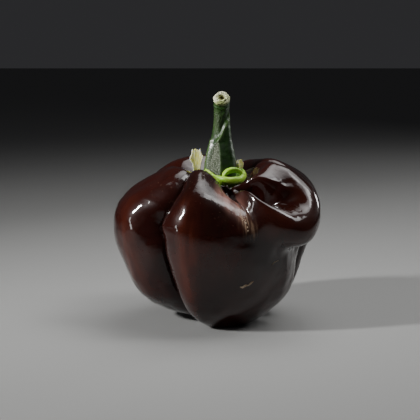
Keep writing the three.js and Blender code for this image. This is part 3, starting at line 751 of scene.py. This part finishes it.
at_cut = np.clip((way - spine_way[len(stalk_stops) - 14]) / (1 - spine_way[len(stalk_stops) - 14]), 0, 1)
pale = np.clip(at_cut * 1.7, 0, 1) ** 1.2
rise += pale * (0.3 * rough[:, 0] + 0.16 * rough[:, 1] + 0.06 * rough[:, 2])
points += out * rise[:, None]
from_pith = np.linalg.norm(np.cross(points - spine[-1], cut_normal), axis=1)
in_cap = way > spine_way[len(stalk_stops) - 1] - 0.004
wall = np.clip((PITH_RADIUS + 0.35 + 0.1 * rough[:, 1] - from_pith) / 0.4, 0, 1)
well = in_cap * wall ** 2 * (3 - 2 * wall)
lip = in_cap * np.exp(-((from_pith - 1.15) / 0.3) ** 2)
points += cut_normal * (lip * (0.22 + 0.3 * rough[:, 1] + 0.1 * rough[:, 2]) - well * PITH_DEPTH)[:, None]
stalk.data.vertices.foreach_set("co", (points / 1000).ravel())
stalk.data.update()
for mask, values in (("facet", facet), ("neck", neck), ("fold", fold), ("pale", pale), ("well", well)):
    layer = stalk.data.attributes.new(mask, "FLOAT", "POINT")
    layer.data.foreach_set("value", np.asarray(values, np.float32))


# Ends of the fibre bundles, which stand in a ring round the pith on the cut.
BUNDLES = 15
bundle_ring = bpy.data.meshes.new("bundle_ring")
turns = np.arange(BUNDLES) * 2 * math.pi / BUNDLES
ring_place = spine[-1] + cut_normal * 0.05
uneven = 1.18 + 0.10 * np.sin(turns * 3 + 1)
bundle_places = ring_place + uneven[:, None] * (
    np.cos(turns)[:, None] * sideways[-1] + np.sin(turns)[:, None] * backward[-1])
bundle_ring.from_pydata((bundle_places / 1000).tolist(), [], [])
bundle_seats = bpy.data.objects.new("bundle_seats", bundle_ring)

stubs = bpy.data.node_groups.new("fibre_stubs", "GeometryNodeTree")
stubs.interface.new_socket("Geometry", in_out="INPUT", socket_type="NodeSocketGeometry")
for socket, kind in (("Radius", "NodeSocketFloat"), ("Seed", "NodeSocketInt"),
                     ("Material", "NodeSocketMaterial")):
    stubs.interface.new_socket(socket, in_out="INPUT", socket_type=kind)
stubs.interface.new_socket("Geometry", in_out="OUTPUT", socket_type="NodeSocketGeometry")
given = put(stubs, "NodeGroupInput").outputs
seats = put(stubs, "GeometryNodeMeshToPoints", {"Mesh": given["Geometry"]})
stub = put(stubs, "GeometryNodeMeshIcoSphere", {"Radius": given["Radius"], "Subdivisions": 2})
size = put(stubs, "FunctionNodeRandomValue", {"Seed": given["Seed"]}, data_type="FLOAT")
size.inputs[2].default_value = 0.6
size.inputs[3].default_value = 1.3
placed = put(stubs, "GeometryNodeInstanceOnPoints", {
    "Points": seats.outputs["Points"], "Instance": stub.outputs["Mesh"], "Scale": size.outputs[1]})
real = put(stubs, "GeometryNodeRealizeInstances", {"Geometry": placed.outputs["Instances"]})
smooth = put(stubs, "GeometryNodeSetShadeSmooth", {"Geometry": real.outputs["Geometry"]})
dressed = put(stubs, "GeometryNodeSetMaterial", {
    "Geometry": smooth.outputs["Geometry"], "Material": given["Material"]})
put(stubs, "NodeGroupOutput", {"Geometry": dressed.outputs["Geometry"]})

fibre, tree, shader, grown = tissue_material(
    "fibre_ends", (0.72, 0.72, 0.50, 1), (0.42, 0.46, 0.22, 1), 1400.0, 5000.0)
tree.links.new(grown["Colour"], shader.inputs["Base Color"])
tree.links.new(spread(tree, grown["Grain"], 0, 1, 0.5, 0.8), shader.inputs["Roughness"])
bump = put(tree, "ShaderNodeBump", {"Height": grown["Grain"], "Strength": 0.5, "Distance": 0.00004})
tree.links.new(bump.outputs["Normal"], shader.inputs["Normal"])
fibre_ends = grown_from("fibre_ends", bundle_seats, stubs, Radius=0.00016, Seed=3, Material=fibre)

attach(stalk, "root")
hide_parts("stem")
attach(fibre_ends, "root")


# ---------------------------------------------------------------------------
# Calyx. A fleshy saucer that the stalk widens into, lying on the fruit's seat. It hugs the stalk on
# the left and swells into a thick lime-green rolled lip in front and on the right.
# ---------------------------------------------------------------------------

CALYX_COLUMNS = 200
CALYX_REACH = 4.25  # mm from the middle of the seat, as are the other sizes of the calyx
LIP_REACH = 1.5
SHEET = 0.42
EDGE_ROLL = 0.24
LIP_ROLL = 0.6
# (azimuth past the left back, height of the rolled edge over the ground)
EDGE_HEIGHTS = [(10, 33.2), (35, 32.5), (55, 31.8), (72, 31.2), (90, 30.85), (115, 30.85), (138, 31.5),
                (158, 32.1), (175, 32.4), (200, 32.4), (240, 32.4)]

azimuth = np.arange(CALYX_COLUMNS) * 360 / CALYX_COLUMNS
past_left = (azimuth - 200) % 360
near_lip = np.interp(past_left, [52, 82, 136, 168, 205], [0, 1, 1, 0.4, 0])
lifted = np.interp(past_left, [0, 20, 200, 240], [0, 1, 1, 0])
lip = near_lip ** 2 * (3 - 2 * near_lip)
ragged = np.array([noise.noise(Vector((math.cos(a) * 3, math.sin(a) * 3, 2.0))) for a in np.radians(azimuth)])
calyx_reach = CALYX_REACH + LIP_REACH * lip + 0.3 * ragged * (1 - 0.6 * lip)
roll = EDGE_ROLL + LIP_ROLL * lip * (1 + 0.3 * ragged)
roll_middle = calyx_reach - roll
bed = on_fruit(azimuth, roll_middle / MERIDIAN_LENGTH)[..., 2] * 1000
edge_height = np.interp(past_left, *zip(*EDGE_HEIGHTS))
roll_height = bed + 0.7 * roll + lifted * np.clip(edge_height - bed - 0.7 * roll, 0, 4)

inner = np.linspace(0, 1, 26)[:, None]
sheet_out = inner * (calyx_reach - 2 * roll)
sheet_bed = on_fruit(np.broadcast_to(azimuth, sheet_out.shape), sheet_out / MERIDIAN_LENGTH)[..., 2] * 1000
sheet_up = sheet_bed + SHEET + 0.04 * np.cos(np.radians(azimuth * 14)) * inner
sheet_up += np.clip(roll_height - sheet_up, 0, 4) * inner ** 3
arc = np.radians(np.linspace(165, -100, 34))[:, None]
roll_out = roll_middle + roll * np.cos(arc)
roll_up = roll_height + roll * np.sin(arc)
under = np.linspace(0.94, 0, 10)[:, None]
under_out = roll_middle * under
under_up = on_fruit(
    np.broadcast_to(azimuth, under_out.shape), under_out / MERIDIAN_LENGTH)[..., 2] * 1000 - 0.35
section_out = np.vstack([sheet_out, roll_out, under_out])
section_up = np.vstack([sheet_up, roll_up, under_up])
azimuths = np.broadcast_to(azimuth, section_out.shape)
lumps = np.array([noise.noise(Vector((math.cos(a) * r, math.sin(a) * r, u)) * 0.9) for a, r, u in
                  zip(np.radians(azimuths).ravel(), section_out.ravel(), section_up.ravel())])
calyx_grid = on_fruit(azimuths, section_out / MERIDIAN_LENGTH)
calyx_grid[..., 2] = (section_up + 0.12 * lumps.reshape(section_up.shape)) / 1000
calyx = closed_mesh("calyx", calyx_grid, rim=np.clip(section_out / calyx_reach, 0, 1) ** 3)

LIME = (0.20, 0.47, 0.025, 1)
INNER_GREEN = (0.045, 0.13, 0.012, 1)
PALE_VEIN = (0.55, 0.70, 0.18, 1)
YELLOW_LIME = (0.46, 0.68, 0.07, 1)
calyx_green, tree, shader, grown = tissue_material("calyx_lime", LIME, YELLOW_LIME, 420.0, 3400.0)
veins = put(tree, "ShaderNodeTexNoise", {
    "Vector": put(tree, "ShaderNodeTexCoord").outputs["Object"], "Scale": 1500.0, "Detail": 5.0}).outputs[0]
colour = blend(tree, spread(tree, mask_of(tree, "rim"), 0.2, 0.9, 0.75, 0), grown["Colour"], INNER_GREEN)
colour = blend(tree, spread(tree, veins, 0.5, 0.7, 0, 0.35), colour, PALE_VEIN)
tree.links.new(colour, shader.inputs["Base Color"])
tree.links.new(spread(tree, veins, 0.3, 0.7, 0.3, 0.48), shader.inputs["Roughness"])
bump = put(tree, "ShaderNodeBump", {
    "Height": count(tree, "ADD", grown["Grain"], veins), "Strength": 0.6, "Distance": 0.00006})
tree.links.new(bump.outputs["Normal"], shader.inputs["Normal"])
shader.inputs["Subsurface Weight"].default_value = 0.15
shader.inputs["Subsurface Radius"].default_value = (0.6, 1.0, 0.2)
shader.inputs["Subsurface Scale"].default_value = 0.0006
calyx.data.materials.append(calyx_green)
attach(calyx, "root")
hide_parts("calyx")


# ---------------------------------------------------------------------------
# Curled tip. The tip of the front sepal is fleshy like the calyx and has rolled inward, so it arches
# from the stalk's foot over a dark gap and down on to the lip.
# ---------------------------------------------------------------------------

# Middle line as shares of the piece's box, and half thickness in mm.
CURL = [(-0.04, 0.1, -0.8, 0.36), (0.04, 0.12, -0.35, 0.5), (0.24, 0.16, 0.06, 0.6), (0.5, 0.3, 0.22, 0.62),
        (0.76, 0.5, 0.1, 0.56), (0.95, 0.75, -0.2, 0.42), (1.05, 0.9, -0.6, 0.25)]

curl_low, curl_high = (np.array(corner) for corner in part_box("calyx_curl"))
curl_stops = smooth_line(CURL, 14)
curl_line = curl_low + curl_stops[:, :3] * (curl_high - curl_low)
curl = grown_from("calyx_curl_tip", shoot_line("curl_line", curl_line, curl_stops[:, 3] / 1000),
                  shoot, Sides=40, Ribs=3, Rib_Height=0.00012, Twist=0.5, Material=calyx_green)
layer = curl.data.attributes.new("rim", "FLOAT", "POINT")
layer.data.foreach_set("value", np.ones(len(curl.data.vertices), np.float32))
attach(curl, "root")
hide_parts("calyx_curl")


# ---------------------------------------------------------------------------
# Torn flaps. Two sepals tore when the fruit swelled: thin dry-edged scraps of pale yellow tissue, one
# ragged and upright on the left, one short, round and fleshy behind the lip on the right.
# ---------------------------------------------------------------------------

# Left edge and right edge up the flap, from foot to top, as shares of its width and height.
LEFT_FLAP_EDGES = [(0.26, 0.76, -0.32), (0.22, 0.79, 0.0), (0.19, 0.82, 0.15), (0.10, 0.87, 0.30),
                   (0.0, 0.95, 0.46), (0.03, 0.98, 0.58), (0.12, 0.86, 0.72), (0.15, 0.80, 0.86),
                   (0.17, 0.80, 0.97)]
RIGHT_FLAP_EDGES = [(0.2, 0.8, -0.5), (0.1, 0.9, 0.0), (0.03, 0.95, 0.25), (0.0, 1.0, 0.5),
                    (0.07, 0.95, 0.72), (0.24, 0.78, 0.9), (0.38, 0.62, 0.97)]


def torn_flap(name, node, edges, thick, bow, ragged, turn, height=1.0):
    """A bowed sheet with a torn top, standing where the CAD flap stands."""
    low, high = (np.array(corner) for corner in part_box(node))
    middle = (low + high) / 2
    across = np.array([math.cos(math.radians(turn)), math.sin(math.radians(turn)), 0])
    facing = np.array([-across[1], across[0], 0])
    width = np.linalg.norm((high - low)[:2] * across[:2])
    sides = smooth_line(edges, 8)
    u = np.linspace(0, 1, 29)
    rows = []
    for step, (left, right, up) in enumerate(sides):
        share = left + (right - left) * u - 0.5
        torn = np.array([noise.noise(Vector((s * 7 + 3, up * 0.7, turn))) for s in share])
        fine_tear = np.array([noise.noise(Vector((s * 26, up * 2, turn + 5))) for s in share])
        rise = up + ragged * up ** 3 * (torn + 0.35 * fine_tear)
        lean = bow * (1 - 4 * share ** 2) + 0.12 * bow * fine_tear + bow * 0.9 * up ** 2
        place = np.array([middle[0], middle[1], low[2]]) + across * (share * width)[:, None]
        place = place + facing * lean[:, None]
        place[:, 2] += (high[2] - low[2]) * height * rise
        rows.append(place)
    rows = np.array(rows)
    tall, wide = rows.shape[:2]
    index = np.arange(tall * wide).reshape(tall, wide)
    faces = np.stack([index[:-1, :-1], index[:-1, 1:], index[1:, 1:], index[1:, :-1]], -1).reshape(-1, 4)
    mesh = bpy.data.meshes.new(name)
    mesh.from_pydata(rows.reshape(-1, 3).tolist(), [], faces.tolist())
    mesh.shade_smooth()
    for mask, values in (("up", np.repeat(sides[:, 2], wide)),
                         ("side", np.tile(np.abs(2 * u - 1), tall))):
        layer = mesh.attributes.new(mask, "FLOAT", "POINT")
        layer.data.foreach_set("value", np.asarray(values, np.float32))
    piece = bpy.data.objects.new(name, mesh)
    bpy.context.scene.collection.objects.link(piece)
    wall = piece.modifiers.new("wall", "SOLIDIFY")
    wall.thickness = thick
    wall.offset = 0
    rounding = piece.modifiers.new("rounding", "SUBSURF")
    rounding.levels = rounding.render_levels = 1
    return piece


torn_yellow, tree, shader, grown = tissue_material(
    "torn_sepal", (0.72, 0.70, 0.16, 1), (0.88, 0.87, 0.46, 1), 700.0, 3600.0)
foot_green = spread(tree, mask_of(tree, "up"), -0.3, 0.25, 0.8, 0)
colour = blend(tree, foot_green, grown["Colour"], (0.22, 0.24, 0.035, 1))
edge = count(tree, "MAXIMUM", spread(tree, mask_of(tree, "side"), 0.7, 1),
             spread(tree, mask_of(tree, "up"), 0.82, 1))
colour = blend(tree, count(tree, "MULTIPLY", edge, 0.7), colour, (0.88, 0.87, 0.66, 1))
tree.links.new(colour, shader.inputs["Base Color"])
tree.links.new(spread(tree, grown["Grain"], 0, 1, 0.45, 0.75), shader.inputs["Roughness"])
bump = put(tree, "ShaderNodeBump", {"Height": grown["Grain"], "Strength": 0.6, "Distance": 0.00007})
tree.links.new(bump.outputs["Normal"], shader.inputs["Normal"])
shader.inputs["Subsurface Weight"].default_value = 0.45
shader.inputs["Subsurface Radius"].default_value = (1.0, 0.9, 0.3)
shader.inputs["Subsurface Scale"].default_value = 0.0006

left_flap = torn_flap("torn_flap_left", "calyx_flap_left", LEFT_FLAP_EDGES, 0.00032, 0.0003, 0.13, 0)
right_flap = torn_flap("torn_flap_right", "calyx_flap_right", RIGHT_FLAP_EDGES, 0.0007, 0.0003, 0.05, 35)
for flap, node in ((left_flap, "calyx_flap_left"), (right_flap, "calyx_flap_right")):
    flap.data.materials.append(torn_yellow)
    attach(flap, "root")
    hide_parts(node)


# ---------------------------------------------------------------------------
# Floor, light and camera.
# ---------------------------------------------------------------------------

FLOOR_SIZE = 3.0
bpy.ops.mesh.primitive_plane_add(size=FLOOR_SIZE, location=(0, 0, cad_box[0][2]))
floor = bpy.context.object
floor.name = "floor"
paper = bpy.data.materials.new("pale_floor")
paper.use_nodes = True
paper.node_tree.nodes["Principled BSDF"].inputs["Base Color"].default_value = (0.26, 0.26, 0.254, 1)
paper.node_tree.nodes["Principled BSDF"].inputs["Roughness"].default_value = 0.75
floor.data.materials.append(paper)


def softbox(name, place, size, watts, beam=180, aim=(0, 0, 0.02)):
    light = bpy.data.lights.new(name, "AREA")
    light.shape = "RECTANGLE"
    light.size, light.size_y = size
    light.energy = watts
    light.spread = math.radians(beam)
    lamp = bpy.data.objects.new(name, light)
    lamp.location = place
    lamp.rotation_euler = (Vector(aim) - Vector(place)).to_track_quat("-Z", "Y").to_euler()
    bpy.context.scene.collection.objects.link(lamp)


# A wide soft light above and a little behind the fruit, a narrower one above its right that draws the
# sheen down the front lobe, a small window at the left for sharp highlights, a low fill and a rim light.
softbox("overhead", (0.08, 0.11, 0.40), (0.34, 0.38), 0.26, 70)
softbox("right_overhead", (0.27, -0.03, 0.40), (0.13, 0.30), 0.09, 45)
softbox("left_window", (-0.34, -0.14, 0.22), (0.028, 0.048), 0.12, 40)
softbox("left_fill", (-0.34, -0.13, 0.06), (0.035, 0.12), 0.12)
softbox("back_rim", (0.30, 0.24, 0.14), (0.05, 0.12), 0.3)

world = bpy.data.worlds.new("studio")
world.use_nodes = True
world.node_tree.nodes["Background"].inputs["Color"].default_value = (0.028, 0.028, 0.03, 1)
bpy.context.scene.world = world

CAMERA_ELEVATION = 9
CAMERA_DISTANCE = 0.254
lens = bpy.data.cameras.new("camera")
lens.lens = 100
lens.sensor_width = 36
lens.clip_start = 0.01
camera = bpy.data.objects.new("camera", lens)
sight = Vector((0, math.cos(math.radians(CAMERA_ELEVATION)), -math.sin(math.radians(CAMERA_ELEVATION))))
aim = Vector((-0.0016, 0, 0.02375))
camera.location = aim - sight * CAMERA_DISTANCE
camera.rotation_euler = sight.to_track_quat("-Z", "Y").to_euler()
bpy.context.scene.collection.objects.link(camera)
bpy.context.scene.camera = camera
